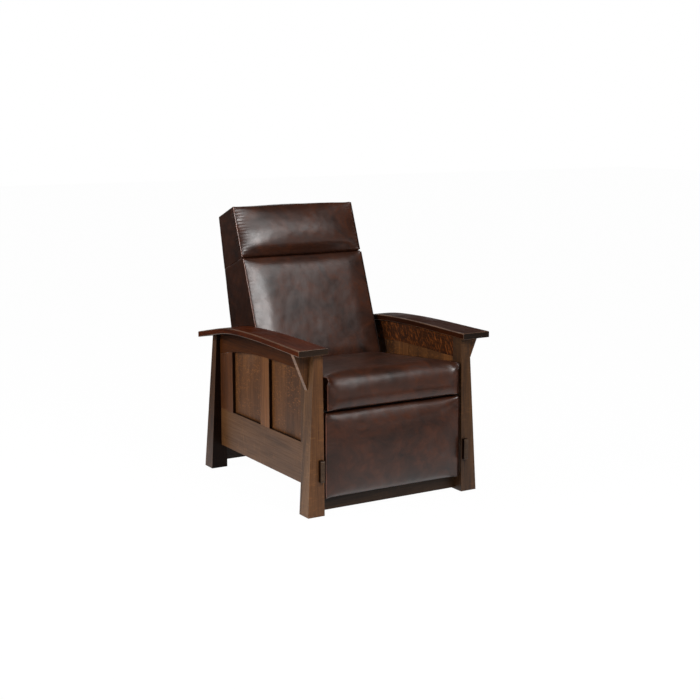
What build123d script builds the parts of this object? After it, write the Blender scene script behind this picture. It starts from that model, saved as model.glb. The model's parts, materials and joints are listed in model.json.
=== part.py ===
from build123d import *
from math import cos, sin, atan2, degrees, radians, hypot
import os

# A push-back recliner in stained oak and leather, in millimetres.
# The front faces -Y, right is +X, the floor is z = 0 and the origin is under the middle.

# Overall
arms_width = 840.0
overall_depth = 938.0
front_y = -overall_depth / 2
rear_y = overall_depth / 2
seat_gap = 0.2          # between wood faces that meet on a curve or in a joint
soft_gap = 0.4          # between padding and what it rests on
overrun = 60.0          # how far a cut runs past the piece

# Heights of the seat, which the arms, the back and the steelwork follow
seat_top_front = 527.0
seat_top_fall = 49.0
seat_border_depth = 139.0
seat_top_rear = seat_top_front - seat_top_fall
seat_border_low = seat_top_front - seat_border_depth

# Arms, whose underside follows a bow and whose outer side draws in towards the rear
arm_width = 122.4
arm_draw_in = 38.0      # of the outer side, from the front end to the rear end
arm_thickness = 23.6
arm_inner_overhang = 9.4
arm_rear_overhang = 34.0
arm_rise = 12.0
arm_bow = 68.0
eased_edge = 2.2        # chamfer along the arms
arm_line_shares = ((0.0, 0.934), (0.2, 0.978), (0.37, 1.0), (0.547, 0.949),
                   (0.674, 0.831), (0.8, 0.555), (1.0, 0.0))
arm_inner = arms_width / 2 - arm_width
arm_rear_level = seat_top_front + arm_rise
arm_front_y = front_y + 1.0

# Posts
post_inner = arm_inner + arm_inner_overhang
post_foot_width = 70.0
post_foot_depth = 67.0
post_face_setback = 14.0
rear_post_setback = 49.0
post_outer_slope_share = 28.0 / 514.0
front_post_slope_share = 10.1 / 514.0
rear_post_slope_share = 31.5 / 551.0
front_post_face = front_y + post_face_setback
front_post_rear = front_post_face + post_foot_depth
rear_post_face = rear_y - rear_post_setback
rear_post_front = rear_post_face - post_foot_depth
post_top_level = arm_rear_level + arm_bow + overrun
arm_length = rear_post_face + arm_rear_overhang - arm_front_y

# Corbels under the arms
corbel_reach = 67.0
corbel_height = 136.0
corbel_thickness = 22.0
corbel_tip = 1.0

# Layers of the steelwork, outwards from the middle
frame_setback = 3.0
frame_inner = post_inner + frame_setback
bar_thickness = 3.0
layer_gap = 1.0
plate_thickness = 4.0
swing_inner = frame_inner - plate_thickness - layer_gap - bar_thickness
seat_plate_inner = swing_inner - layer_gap - bar_thickness
arm_link_inner = seat_plate_inner - layer_gap - bar_thickness
reach_link_inner = arm_link_inner - layer_gap - bar_thickness

# Pins and screws
pin_radius = 5.0
pin_clearance = 0.05
open_clearance = 0.8    # at the two pivots that close a linkage
head_radius = 8.5
head_thickness = 2.4
thin_head = 0.7
screw_radius = 3.0
screw_head_radius = 6.0
screw_head = 2.0
screw_length = 18.0
screw_clearance = 0.1

# Seat
seat_setback = 10.0
back_foot_setback = 376.0
seat_tuck = 4.0
seat_side_gap = 1.0
seat_border_thickness = 29.0
seat_rail_thickness = 22.0
seat_rail_depth = 38.0
seat_rail_drop = 1.0
seat_rail_setback = 31.0
seat_corner = 26.0
seat_crown = 12.0
strap_thickness = 2.0
strap_width = 48.0
strap_count = 6
cross_strap_count = 4
seat_front_y = front_y + seat_setback
back_foot_y = rear_y - back_foot_setback
seat_length = back_foot_y + seat_tuck - seat_front_y
seat_half_width = reach_link_inner - seat_side_gap
seat_rail_low = seat_border_low - seat_rail_drop
seat_rail_front = seat_front_y + seat_border_thickness
seat_rail_rear = back_foot_y - seat_rail_setback

# Parallel swing arms that carry the seat on steel plates
swing_length = 120.0
swing_angle = 25.0      # back from upright at rest, and as far forward when reclined
swing_bar_width = 24.0
front_swing_setback = 36.3
rear_swing_setback = 100.7
seat_pivot_drop = 63.2
seat_plate_drop = 81.0
seat_plate_lap = 36.0
seat_plate_margin = 25.0
seat_plate_corner = 12.0
base_plate_width = 56.0
base_screw_shares = (0.2, 0.5, 0.8)
front_swing_y = front_post_rear + front_swing_setback
rear_swing_y = back_foot_y - rear_swing_setback
swing_rise = swing_length * cos(radians(swing_angle))
swing_run = swing_length * sin(radians(swing_angle))
seat_pivot_level = seat_rail_low - seat_pivot_drop
swing_level = seat_pivot_level - swing_rise

# Side frames between the posts
frame_thickness = 22.0
top_rail_depth = 79.0
bottom_rail_low = 97.0
bottom_rail_margin = 39.0
front_stile_width = 66.0
middle_stile_width = 74.0
middle_stile_shift = 19.5
rear_stile_width = 112.0
panel_thickness = 7.0
panel_inset = 2.0
panel_tongue = 6.0
tenon_inset = 1.5
tenon_shoulder = 4.0
tenon_start_share = 0.21
tenon_height_share = 0.51
tenon_chamfer = 4.0
rear_tenon_proud = 15.0
bottom_rail_top = swing_level + bottom_rail_margin
bottom_rail_depth = bottom_rail_top - bottom_rail_low
tenon_thickness = frame_thickness - tenon_shoulder
tenon_low = bottom_rail_low + bottom_rail_depth * tenon_start_share
tenon_height = bottom_rail_depth * tenon_height_share
middle_stile_front = ((front_post_rear + rear_post_front - middle_stile_width) / 2
                      - middle_stile_shift)

# Footrest
footrest_side_gap = 11.0
footrest_low = 57.0
footrest_gap = 7.0
footrest_pad_depth = 46.0
footrest_corner = 20.0
footrest_crown = 9.0
board_thickness = 15.0
board_margin = 6.0
board_side_gap = 7.0
flange_width = 52.0
flange_rise = 30.0
flange_height = 84.0
footrest_front = front_post_face
footrest_back = footrest_front + footrest_pad_depth + board_thickness
footrest_half_width = post_inner - footrest_side_gap
footrest_height = seat_border_low - footrest_gap - footrest_low

# Rails low down across the front and the rear
base_rail_thickness = 20.0
base_front_low = 6.0
base_front_depth = footrest_low - base_front_low
base_rear_low = 22.0
base_rear_depth = 70.0
base_rear_setback = 32.0

# Leg rest linkage, with angles in the side view from straight ahead, upwards
link_width = 22.0
carry_setback = 154.7
carry_drop = 57.0
elbow_level = 109.0
carry_angle = -115.0
guide_spacing = 70.0
foot_pivot_setback = 5.0
foot_pivot_rise = 133.0
horn_length = 42.0
horn_angle = 80.74
tail_length = 62.63
tail_angle = 155.45
tube_size = 20.0
tube_wall = 2.0
tube_share = 0.4        # of the carry arm, from its upper pivot

# Back, built upright in its own frame and then leaned
back_lean = 20.9
back_foot_drop = 3.0
back_side_gap = 19.0
back_low = -45.0
back_seam = 437.0
head_height = 213.0
back_top_depth = 150.0
back_taper_share = 0.146
back_frame_depth = 50.0
back_front = -3.0
back_corner = 26.0
back_crown = 9.0
head_corner = 26.0
head_crown = 14.0
head_puff = 10.0
seam_gap = 1.0
back_cover_thickness = 4.0
back_panel_thickness = 10.0
back_board_thickness = 22.0
back_rail_width = 44.0
back_rail_thickness = 22.0
tongue_lap = 42.0
tongue_cover = 30.0
tongue_headroom = 68.0
tongue_inset = 9.0
back_strap_count = 5
back_pivot_setback = 10.0
back_pivot_rise = 23.0
bracket_width = 34.0
bracket_low = 12.0
bracket_high = 96.0
bracket_setback = 32.0
spacer_radius = 9.0
back_foot_z = seat_top_rear - back_foot_drop
back_half_width = arm_link_inner - back_side_gap
back_top = back_seam + head_height
back_pad_depth = back_top_depth - back_frame_depth
tongue_front = back_pad_depth - tongue_lap
tongue_depth = back_top_depth - tongue_front - tongue_cover
tongue_height = head_height - tongue_headroom
bracket_line = back_pad_depth + bracket_setback

# Cushion outline along its length: place, drawn in at the side, drawn in at the face, crown
pillow_shares = ((0.0, 0.3, 0.9, 0.3), (0.02, 0.1, 0.4, 0.7), (0.07, 0.02, 0.08, 0.9),
                 (0.35, 0.1, 0.0, 1.0), (0.65, 0.1, 0.0, 1.0), (0.93, 0.02, 0.08, 0.9),
                 (0.98, 0.1, 0.4, 0.7), (1.0, 0.3, 0.9, 0.3))
back_shares = ((0.0, 0.5, 1.0, 0.4), (0.025, 0.2, 0.4, 0.7), (0.08, 0.02, 0.1, 0.9),
               (0.35, 0.06, 0.0, 1.0), (0.65, 0.06, 0.0, 1.0), (0.94, 0.02, 0.1, 0.95),
               (0.98, 0.06, 0.4, 0.8), (1.0, 0.15, 1.0, 0.5))
head_shares = ((0.0, 0.15, 1.0, 0.4), (0.05, 0.05, 0.42, 0.8), (0.16, 0.02, 0.1, 0.95),
               (0.42, 0.0, 0.0, 1.0), (0.72, 0.02, 0.06, 1.0), (0.92, 0.04, 0.22, 0.9),
               (0.975, 0.08, 0.4, 0.7), (1.0, 0.2, 0.8, 0.5))
seat_shares = ((0.0, 0.5, 0.5, 0.6), (0.08, 0.1, 0.1, 0.9), (0.4, 0.12, 0.0, 1.0),
               (0.75, 0.08, 0.0, 1.0), (0.93, 0.0, 0.12, 0.9), (0.975, 0.05, 0.5, 0.8),
               (0.992, 0.12, 0.95, 0.65), (1.0, 0.25, 1.5, 0.5))


# Helpers

def span_box(x0, x1, y0, y1, z0, z1):
    size = Box(abs(x1 - x0), abs(y1 - y0), abs(z1 - z0))
    return Pos((x0 + x1) / 2, (y0 + y1) / 2, (z0 + z1) / 2) * size


def side_solid(sketch, x0, thickness):
    return extrude(Plane.YZ.offset(x0) * sketch, amount=thickness)


def mirrored(solid):
    return mirror(solid, about=Plane.YZ)


def both(solid):
    return [solid, mirrored(solid)]


def outline(points):
    return make_face(Polyline(*points, close=True))


def ahead(point, length, angle):
    # a point further along in the side view, where the angle opens upwards from straight ahead
    return (point[0] - length * cos(radians(angle)), point[1] + length * sin(radians(angle)))


def slot(p, q, width):
    run, rise = q[0] - p[0], q[1] - p[1]
    bar = SlotCenterToCenter(hypot(run, rise), width)
    return Pos((p[0] + q[0]) / 2, (p[1] + q[1]) / 2) * Rot(0, 0, degrees(atan2(rise, run))) * bar


def cross_pin(point, radius, x0, x1):
    disc = Pos(point[0], point[1]) * Circle(radius)
    return side_solid(disc, x0, x1 - x0)


def drill(solid, points, radius, x0, x1):
    for point in points:
        solid = solid - cross_pin(point, radius, x0 - overrun, x1 + overrun)
    return solid


def bore(solid, points, x0, x1):
    # holes for screws that end inside the piece
    for point in points:
        solid = solid - cross_pin(point, screw_radius + screw_clearance, x0, x1)
    return solid


def link(points, width, x0, holes):
    # a flat bar through the points in turn, with a hole of its own radius at each
    bar = slot(points[0], points[1], width)
    for p, q in zip(points[1:], points[2:]):
        bar = bar + slot(p, q, width)
    solid = side_solid(bar, x0, bar_thickness)
    for point, radius in zip(points, holes):
        solid = drill(solid, [point], radius, x0, x0 + bar_thickness)
    return solid


def rivet(point, x0, x1, inner_head, outer_head):
    # a shank from x0 to x1, with a head past either end where one is wanted
    solid = cross_pin(point, pin_radius, x0, x1)
    if inner_head:
        solid = solid + cross_pin(point, head_radius, x0 - inner_head, x0)
    if outer_head:
        solid = solid + cross_pin(point, head_radius, x1, x1 + outer_head)
    return solid


# Pivot places, from the sizes above

def seat_pivot(base_y):
    return (base_y + swing_run, seat_pivot_level)


def way_up(p, q):
    # the angle of the way from p to q in the side view, from straight ahead
    return degrees(atan2(q[1] - p[1], p[0] - q[0]))


pin_hole = pin_radius + pin_clearance
open_hole = pin_radius + open_clearance
front_base_pivot = (front_swing_y, swing_level)
rear_base_pivot = (rear_swing_y, swing_level)
front_seat_pivot = seat_pivot(front_swing_y)
rear_seat_pivot = seat_pivot(rear_swing_y)
back_pivot = (back_foot_y + back_pivot_setback, seat_rail_low + back_pivot_rise)
carry_pivot = (front_swing_y + carry_setback, seat_rail_low - carry_drop)
carry_length = (elbow_level - carry_pivot[1]) / sin(radians(carry_angle))
elbow = ahead(carry_pivot, carry_length, carry_angle)
footrest_pivot = (footrest_back + foot_pivot_setback, footrest_low + foot_pivot_rise)
reach_angle = way_up(elbow, footrest_pivot)
guide_pivot = ahead(carry_pivot, guide_spacing, reach_angle)
guide_elbow = ahead(guide_pivot, carry_length, carry_angle)
horn_pivot = ahead(elbow, horn_length, carry_angle + 180 + horn_angle)
tail_pivot = ahead(footrest_pivot, tail_length, tail_angle)


# Wooden frame

def arm_point(place, rise):
    return (arm_front_y + place * arm_length, arm_rear_level + rise * arm_bow)


def arm_band(low, high):
    # the side view between two curves, that far above the underside of the arm
    points = [arm_point(place, rise) for place, rise in arm_line_shares]
    under = Spline(*[(y, z + low) for y, z in points])
    upper = Spline(*[(y, z + high) for y, z in points])
    front = Line(under @ 0, upper @ 0)
    rear = Line(under @ 1, upper @ 1)
    return make_face([under, rear, upper, front])


def above(level):
    # everything from a curve under the arm upwards, to cut what stands below
    return side_solid(arm_band(level, post_top_level), post_inner - overrun,
                      arms_width / 2 - post_inner + 2 * overrun)


def make_arm():
    band = side_solid(arm_band(0, arm_thickness), arm_inner, arm_width)
    arm_rear_y = arm_front_y + arm_length
    corners = ((arm_inner, arm_front_y), (arm_inner + arm_width, arm_front_y),
               (arm_inner + arm_width - arm_draw_in, arm_rear_y), (arm_inner, arm_rear_y))
    solid = band & extrude(outline(corners), amount=post_top_level)
    long_edges = [e for e in solid.edges() if e.bounding_box().size.Y > arm_length / 2]
    return chamfer(long_edges, eased_edge)


def post_outer(z):
    return post_inner + post_foot_width - post_outer_slope_share * z


def mortise_cut():
    # room for the through tenons of the bottom rail, with a small clearance
    inner = frame_inner + tenon_inset - seat_gap
    return span_box(inner, inner + tenon_thickness + 2 * seat_gap, front_y - overrun,
                    rear_post_face + overrun, tenon_low - seat_gap,
                    tenon_low + tenon_height + seat_gap)


def make_post(face, back, slope):
    # tapered on its outer side and on the face that looks away from the chair
    rings = []
    for z in (0, post_top_level):
        lean = slope * z
        corners = ((post_inner, back), (post_outer(z), back),
                   (post_outer(z), face + lean), (post_inner, face + lean))
        rings.append(Pos(0, 0, z) * outline(corners))
    return loft(rings, ruled=True) - above(-seat_gap) - mortise_cut()


def make_corbel():
    level = arm_rear_level + arm_bow
    low = arm_rear_level + arm_bow * arm_line_shares[0][1] - corbel_height
    corners = ((post_outer(level), level), (post_outer(level) + corbel_reach, level),
               (post_outer(low) + corbel_tip, low), (post_outer(low), low))
    blank = extrude(Plane.XZ.offset(-front_post_rear) * outline(corners), amount=corbel_thickness)
    return blank - above(-seat_gap)


def side_span(y0, y1, z0, inner, thickness):
    return span_box(inner, inner + thickness, y0, y1, z0, post_top_level)


def panel_bays():
    middle_end = middle_stile_front + middle_stile_width
    return ((front_post_rear + front_stile_width, middle_stile_front),
            (middle_end, rear_post_front - rear_stile_width))


def make_panels(loose):
    inner = frame_inner + panel_inset - loose
    grow = panel_tongue + loose
    panels = []
    for y0, y1 in panel_bays():
        blank = side_span(y0 - grow, y1 + grow, bottom_rail_top - grow, inner,
                          panel_thickness + 2 * loose)
        panels.append(blank - above(-top_rail_depth + grow))
    return panels


def grooved(solid):
    for groove in make_panels(seat_gap):
        solid = solid - groove
    return solid


def make_top_rail():
    band = side_solid(arm_band(-top_rail_depth, -seat_gap), frame_inner, frame_thickness)
    span = side_span(front_post_rear, rear_post_front, bottom_rail_top, frame_inner,
                     frame_thickness)
    return grooved(band & span)


def base_screw_points():
    return [(front_swing_y + share * (rear_swing_y - front_swing_y), swing_level)
            for share in base_screw_shares]


def make_bottom_rail():
    rail = span_box(frame_inner, frame_inner + frame_thickness, front_post_rear,
                    rear_post_front, bottom_rail_low, bottom_rail_top)
    inner = frame_inner + tenon_inset
    rear_end = rear_post_face + rear_tenon_proud - rear_post_slope_share * tenon_low
    tenon = span_box(inner, inner + tenon_thickness, front_y, rear_end, tenon_low,
                     tenon_low + tenon_height)
    ends = tenon.faces().filter_by(Axis.Y)
    tenon = chamfer(ends.edges(), tenon_chamfer)
    rail = grooved(rail + tenon)
    depth = screw_length - plate_thickness + screw_clearance
    return bore(rail, base_screw_points(), frame_inner, frame_inner + depth)


def make_stiles():
    spans = ((front_post_rear, front_post_rear + front_stile_width),
             (middle_stile_front, middle_stile_front + middle_stile_width),
             (rear_post_front - rear_stile_width, rear_post_front))
    blanks = [side_span(y0, y1, bottom_rail_top, frame_inner, frame_thickness)
              for y0, y1 in spans]
    return [grooved(blank - above(-top_rail_depth - seat_gap)) for blank in blanks]


def make_base_front_rail():
    return span_box(-post_inner, post_inner, front_post_rear - base_rail_thickness,
                    front_post_rear, base_front_low, base_front_low + base_front_depth)


def make_base_rear_rail():
    y0 = rear_post_front + base_rear_setback
    return span_box(-post_inner, post_inner, y0, y0 + base_rail_thickness, base_rear_low,
                    base_rear_low + base_rear_depth)


# Steel on the frame and the swing arms

def make_base_plate():
    inner = frame_inner - plate_thickness
    plate = side_solid(slot(front_base_pivot, rear_base_pivot, base_plate_width), inner,
                       plate_thickness)
    plate = drill(plate, (front_base_pivot, rear_base_pivot), pin_hole, inner, frame_inner)
    return drill(plate, base_screw_points(), screw_radius + screw_clearance, inner,
                 frame_inner)


def make_base_pins():
    pins = []
    for pivot in (front_base_pivot, rear_base_pivot):
        pins += both(rivet(pivot, swing_inner, frame_inner - soft_gap, 0, 0))
    return pins


def screw(point, seat, length):
    shank = cross_pin(point, screw_radius, seat, seat + length)
    return shank + hex_head(point, seat - screw_head, seat)


def hex_head(point, x0, x1):
    profile = Pos(point[0], point[1]) * RegularPolygon(screw_head_radius, 6)
    return side_solid(profile, x0, x1 - x0)


def make_base_screws():
    screws = []
    for point in base_screw_points():
        screws += both(screw(point, frame_inner - plate_thickness, screw_length))
    return screws


def make_swing_arms(base_pivot, upper_hole):
    arm = link((base_pivot, seat_pivot(base_pivot[0])), swing_bar_width, swing_inner,
               (pin_hole, upper_hole))
    return both(arm)


# Seat

def seat_screw_points():
    level = seat_rail_low + seat_rail_depth / 2
    run = back_pivot[0] - front_seat_pivot[0]
    return [(front_seat_pivot[0] + share * run, level) for share in base_screw_shares]


def make_seat_plate():
    # one pressed plate that holds the swing arms, the leg rest links and the back
    low = seat_rail_low - seat_plate_drop
    high = seat_rail_low + seat_plate_lap
    front = front_seat_pivot[0] - seat_plate_margin
    drop = front_seat_pivot[1] - low
    corners = ((front, high), (front, low),
               (rear_seat_pivot[0] + drop, low), (back_pivot[0] + drop, back_pivot[1] - drop),
               (back_pivot[0] + drop, high))
    profile = outline(corners)
    profile = fillet(profile.vertices(), seat_plate_corner)
    plate = side_solid(profile, seat_plate_inner, bar_thickness)
    pivots = (front_seat_pivot, rear_seat_pivot, carry_pivot, guide_pivot, back_pivot)
    plate = drill(plate, pivots, pin_hole, seat_plate_inner, seat_plate_inner)
    return drill(plate, seat_screw_points(), screw_radius + screw_clearance,
                 seat_plate_inner, seat_plate_inner)


def make_seat_pins():
    pins = []
    for pivot in (front_seat_pivot, rear_seat_pivot):
        pins += both(rivet(pivot, seat_plate_inner, swing_inner + bar_thickness, 0, thin_head))
    for pivot in (carry_pivot, guide_pivot):
        pins += both(rivet(pivot, arm_link_inner, seat_plate_inner + bar_thickness,
                           head_thickness, 0))
    return pins


def make_back_pins():
    return both(rivet(back_pivot, arm_link_inner, seat_plate_inner + bar_thickness,
                      head_thickness, thin_head))


def make_seat_side_rail():
    # starts behind the front rail, which covers its end
    rail = span_box(seat_plate_inner - seat_rail_thickness, seat_plate_inner,
                    seat_rail_front + seat_rail_thickness, seat_rail_rear, seat_rail_low,
                    seat_rail_low + seat_rail_depth)
    depth = screw_length - bar_thickness + screw_clearance
    return bore(rail, seat_screw_points(), seat_plate_inner - depth, seat_plate_inner)


def make_seat_cross_rail(half, y0):
    return span_box(-half, half, y0, y0 + seat_rail_thickness, seat_rail_low,
                    seat_rail_low + seat_rail_depth)


def make_seat_screws():
    screws = []
    for point in seat_screw_points():
        seat = seat_plate_inner + bar_thickness
        shank = cross_pin(point, screw_radius, seat - screw_length, seat)
        screws += both(shank + hex_head(point, seat, seat + screw_head))
    return screws


def make_seat_straps():
    # elastic straps front to rear, tacked on the rails, with cross straps under them
    top = seat_rail_low + seat_rail_depth
    inner = seat_plate_inner - seat_rail_thickness
    straps = []
    pitch = 2 * inner / strap_count
    for n in range(strap_count):
        x = -inner + (n + 0.5) * pitch
        straps.append(span_box(x - strap_width / 2, x + strap_width / 2, seat_rail_front,
                               seat_rail_rear, top, top + strap_thickness))
    run = seat_rail_rear - seat_rail_front
    for n in range(cross_strap_count):
        y = seat_rail_front + (n + 1) * run / (cross_strap_count + 1)
        straps.append(span_box(-inner, inner, y - strap_width / 2, y + strap_width / 2,
                               top - strap_thickness, top))
    return straps


def pillow(shares, length, half_width, face, rear, corner, crown):
    # a padded block along Z, crowned on its face, drawn in at its ends and along its sides
    rings = []
    for place, side_share, face_share, crown_share in shares:
        front = face[0] + (face[1] - face[0]) * place
        behind = rear[0] + (rear[1] - rear[0]) * place
        way = 1 if front > behind else -1
        half = half_width - side_share * corner
        edge = front - way * (face_share * corner + crown)
        sides = Polyline((-half, edge), (-half, behind), (half, behind), (half, edge))
        dome = ThreePointArc((-half, edge), (0, edge + way * crown * crown_share), (half, edge))
        rings.append(Pos(0, 0, place * length) * make_face([sides, dome]))
    return loft(rings, ruled=True)


def make_seat_cushion():
    rear_y = seat_front_y + seat_length
    block = pillow(seat_shares, seat_length, seat_half_width, (seat_top_rear, seat_top_front),
                   (seat_border_low, seat_border_low), seat_corner, seat_crown)
    block = Pos(0, rear_y, 0) * Rot(90, 0, 0) * block
    rest = seat_rail_low + seat_rail_depth + strap_thickness + soft_gap
    room = span_box(-seat_half_width, seat_half_width, seat_rail_front - soft_gap,
                    rear_y + overrun, seat_border_low - overrun, rest)
    behind = leaned(span_box(-seat_half_width, seat_half_width, -seam_gap,
                             back_top_depth, -back_top, back_top))
    return block - room - behind


# Back

def leaned(solid):
    return Pos(0, back_foot_y, back_foot_z) * Rot(-back_lean, 0, 0) * solid


def back_depth(height):
    return back_top_depth + (back_top - height) * back_taper_share


def make_back_board():
    inner = back_half_width - back_cover_thickness - back_board_thickness
    front = back_pad_depth + seam_gap
    skin = back_panel_thickness
    tongue_top = back_seam + tongue_height
    points = ((front, back_low), (back_depth(back_low) - skin, back_low),
              (back_depth(back_seam) - skin, back_seam), (tongue_front + tongue_depth, back_seam),
              (tongue_front + tongue_depth, tongue_top), (tongue_front, tongue_top),
              (tongue_front, back_seam), (front, back_seam))
    board = side_solid(outline(points), inner, back_board_thickness)
    outer = inner + back_board_thickness
    board = board - span_box(outer - tongue_inset, outer + overrun, 0, back_top_depth,
                             back_seam, back_top)
    return leaned(drill(board, bracket_holes(), screw_radius + screw_clearance, inner, inner))


def bracket_holes():
    return ((bracket_line, bracket_low), (bracket_line, bracket_high))


def back_rail(low, front):
    half = back_half_width - back_cover_thickness - back_board_thickness
    return span_box(-half, half, front, front + back_rail_thickness, low,
                    low + back_rail_width)


def make_back_rails():
    front = back_pad_depth + seam_gap
    bottom = leaned(back_rail(back_low, front))
    middle = leaned(back_rail(back_seam - back_rail_width, front))
    top = leaned(back_rail(back_seam + tongue_height - back_rail_width, tongue_front))
    return bottom, middle, top


def make_back_straps():
    half = back_half_width - back_cover_thickness
    top = back_seam - back_rail_width
    low = back_low + back_rail_width
    pitch = (top - low) / back_strap_count
    front = back_pad_depth + seam_gap - strap_thickness
    straps = []
    for n in range(back_strap_count):
        middle = low + (n + 0.5) * pitch
        straps.append(leaned(span_box(-half, half, front, front + strap_thickness,
                                      middle - strap_width / 2, middle + strap_width / 2)))
    return straps


def make_back_cushion():
    rear = back_pad_depth + seam_gap - strap_thickness - soft_gap
    block = pillow(back_shares, back_seam - back_low - seam_gap, back_half_width,
                   (back_front, back_front), (rear, rear), back_corner, back_crown)
    return leaned(Pos(0, 0, back_low) * block)


def head_pocket():
    # room inside the head cushion for the tongues and the top rail of the frame
    inner = back_half_width - back_cover_thickness - back_board_thickness
    outer = back_half_width - back_cover_thickness - tongue_inset
    low = back_seam - overrun
    high = back_seam + tongue_height + soft_gap
    front, rear = tongue_front - soft_gap, tongue_front + tongue_depth + soft_gap
    slot_right = span_box(inner - soft_gap, outer + soft_gap, front, rear, low, high)
    rail = span_box(-outer, outer, front, tongue_front + back_rail_thickness + soft_gap,
                    high - back_rail_width - 2 * soft_gap, high)
    return [slot_right, mirrored(slot_right), rail]


def make_head_cushion():
    length = back_top - back_seam - soft_gap
    rear = (back_depth(back_seam), back_depth(back_top))
    block = pillow(head_shares, length, back_half_width, (-head_puff, -head_puff), rear,
                   head_corner, head_crown)
    block = Pos(0, 0, back_seam + soft_gap) * block
    for pocket in head_pocket():
        block = block - pocket
    return leaned(block)


def make_back_panel():
    skin = back_panel_thickness - soft_gap
    foot = back_depth(back_low)
    head = back_depth(back_seam)
    points = ((foot - skin, back_low), (foot, back_low), (head, back_seam),
              (head - skin, back_seam))
    return leaned(side_solid(outline(points), -back_half_width, 2 * back_half_width))


def make_back_side_cover():
    inner = back_half_width - back_cover_thickness + soft_gap
    front = back_pad_depth + seam_gap - strap_thickness
    skin = back_panel_thickness
    points = ((front, back_low), (back_depth(back_low) - skin, back_low),
              (back_depth(back_seam) - skin, back_seam), (front, back_seam))
    cover = side_solid(outline(points), inner, back_cover_thickness - soft_gap)
    return leaned(drill(cover, bracket_holes(), spacer_radius, inner, inner))


def lean_point(depth, height):
    turn = radians(back_lean)
    return (back_foot_y + depth * cos(turn) + height * sin(turn),
            back_foot_z - depth * sin(turn) + height * cos(turn))


def make_back_bracket():
    # a cranked bar from the back pivot to two bolts in the side board
    low, high = [lean_point(*hole) for hole in bracket_holes()]
    bar = slot(back_pivot, low, bracket_width) + slot(low, high, bracket_width)
    plate = side_solid(bar, arm_link_inner, bar_thickness)
    plate = drill(plate, (back_pivot,), pin_hole, arm_link_inner, arm_link_inner)
    return drill(plate, (low, high), screw_radius + screw_clearance, arm_link_inner,
                 arm_link_inner)


def make_bracket_spacers():
    inner = back_half_width - back_cover_thickness
    spacers = []
    for hole in bracket_holes():
        point = lean_point(*hole)
        tube = cross_pin(point, spacer_radius - soft_gap, inner, arm_link_inner)
        tube = drill(tube, (point,), screw_radius + screw_clearance, inner, arm_link_inner)
        spacers += both(tube)
    return spacers


def make_bracket_bolts():
    start = back_half_width - back_cover_thickness - screw_length
    seat = arm_link_inner + bar_thickness
    bolts = []
    for hole in bracket_holes():
        point = lean_point(*hole)
        shank = cross_pin(point, screw_radius, start, seat)
        bolts += both(shank + hex_head(point, seat, seat + screw_head))
    return bolts


# Leg rest

def make_carry_arms():
    arm = link((carry_pivot, elbow, horn_pivot), link_width, arm_link_inner,
               (pin_hole, pin_hole, pin_hole))
    return both(arm)


def make_torque_tube():
    middle = ahead(carry_pivot, carry_length * tube_share, carry_angle)
    square = Pos(middle[0], middle[1]) * Rot(0, 0, carry_angle) * Rectangle(tube_size, tube_size)
    bore = Pos(middle[0], middle[1]) * Rot(0, 0, carry_angle) * Rectangle(
        tube_size - 2 * tube_wall, tube_size - 2 * tube_wall)
    return side_solid(square - bore, -arm_link_inner, 2 * arm_link_inner)


def make_guide_arms():
    return both(link((guide_pivot, guide_elbow), link_width, arm_link_inner,
                     (pin_hole, pin_hole)))


def make_reach_links():
    bar = link((elbow, footrest_pivot), link_width, reach_link_inner, (pin_hole, pin_hole))
    return both(drill(bar, (guide_elbow,), open_hole, reach_link_inner, reach_link_inner))


def make_control_links():
    return both(link((horn_pivot, tail_pivot), link_width, seat_plate_inner,
                     (pin_hole, open_hole)))


def make_elbow_pins():
    pins = both(rivet(elbow, reach_link_inner, arm_link_inner + bar_thickness,
                      head_thickness, 0))
    return pins + both(rivet(horn_pivot, arm_link_inner, seat_plate_inner + bar_thickness,
                             0, thin_head))


def make_guide_pins():
    return both(rivet(guide_elbow, reach_link_inner, arm_link_inner + bar_thickness,
                      head_thickness, 0))


def make_footrest_pins():
    pins = both(rivet(footrest_pivot, reach_link_inner, arm_link_inner + bar_thickness,
                      head_thickness, 0))
    return pins + both(rivet(tail_pivot, arm_link_inner, seat_plate_inner + bar_thickness,
                             0, thin_head))


def make_footrest_board():
    half = reach_link_inner - board_side_gap
    return span_box(-half, half, footrest_back - board_thickness, footrest_back,
                    footrest_low + board_margin,
                    footrest_low + footrest_height - board_margin)


def make_footrest_pad():
    block = pillow(pillow_shares, footrest_height, footrest_half_width, (0, 0),
                   (footrest_pad_depth - soft_gap, footrest_pad_depth - soft_gap),
                   footrest_corner, footrest_crown)
    return Pos(0, footrest_front, footrest_low) * block


def make_footrest_brackets():
    # an angle with a flange screwed to the board and an ear out to the links
    back = footrest_back
    inner = arm_link_inner + bar_thickness - flange_width
    flange_low = footrest_pivot[1] + flange_rise
    flange_high = flange_low + flange_height
    flange = span_box(inner, arm_link_inner + bar_thickness, back, back + bar_thickness,
                      flange_low, flange_high)
    ear_points = ((back, footrest_pivot[1]), (back, flange_high),
                  (back + bar_thickness, flange_high), tail_pivot)
    ear = outline(ear_points) + slot(footrest_pivot, tail_pivot, link_width)
    ear = side_solid(ear, arm_link_inner, bar_thickness)
    bracket = drill(flange + ear, (footrest_pivot, tail_pivot), pin_hole, arm_link_inner,
                    arm_link_inner)
    return both(bracket)


# Writing the files

def save(name, solids):
    if not isinstance(solids, (list, tuple)):
        solids = [solids]
    loose = [s for solid in solids for s in solid.solids()]
    shape = loose[0] if len(loose) == 1 else Compound(children=loose)
    export_step(shape, f"parts/{name}.step")


def save_pair(name, solids):
    if not isinstance(solids, (list, tuple)):
        solids = [solids]
    save(f"{name}_right", solids)
    save(f"{name}_left", [mirrored(solid) for solid in solids])


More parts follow.
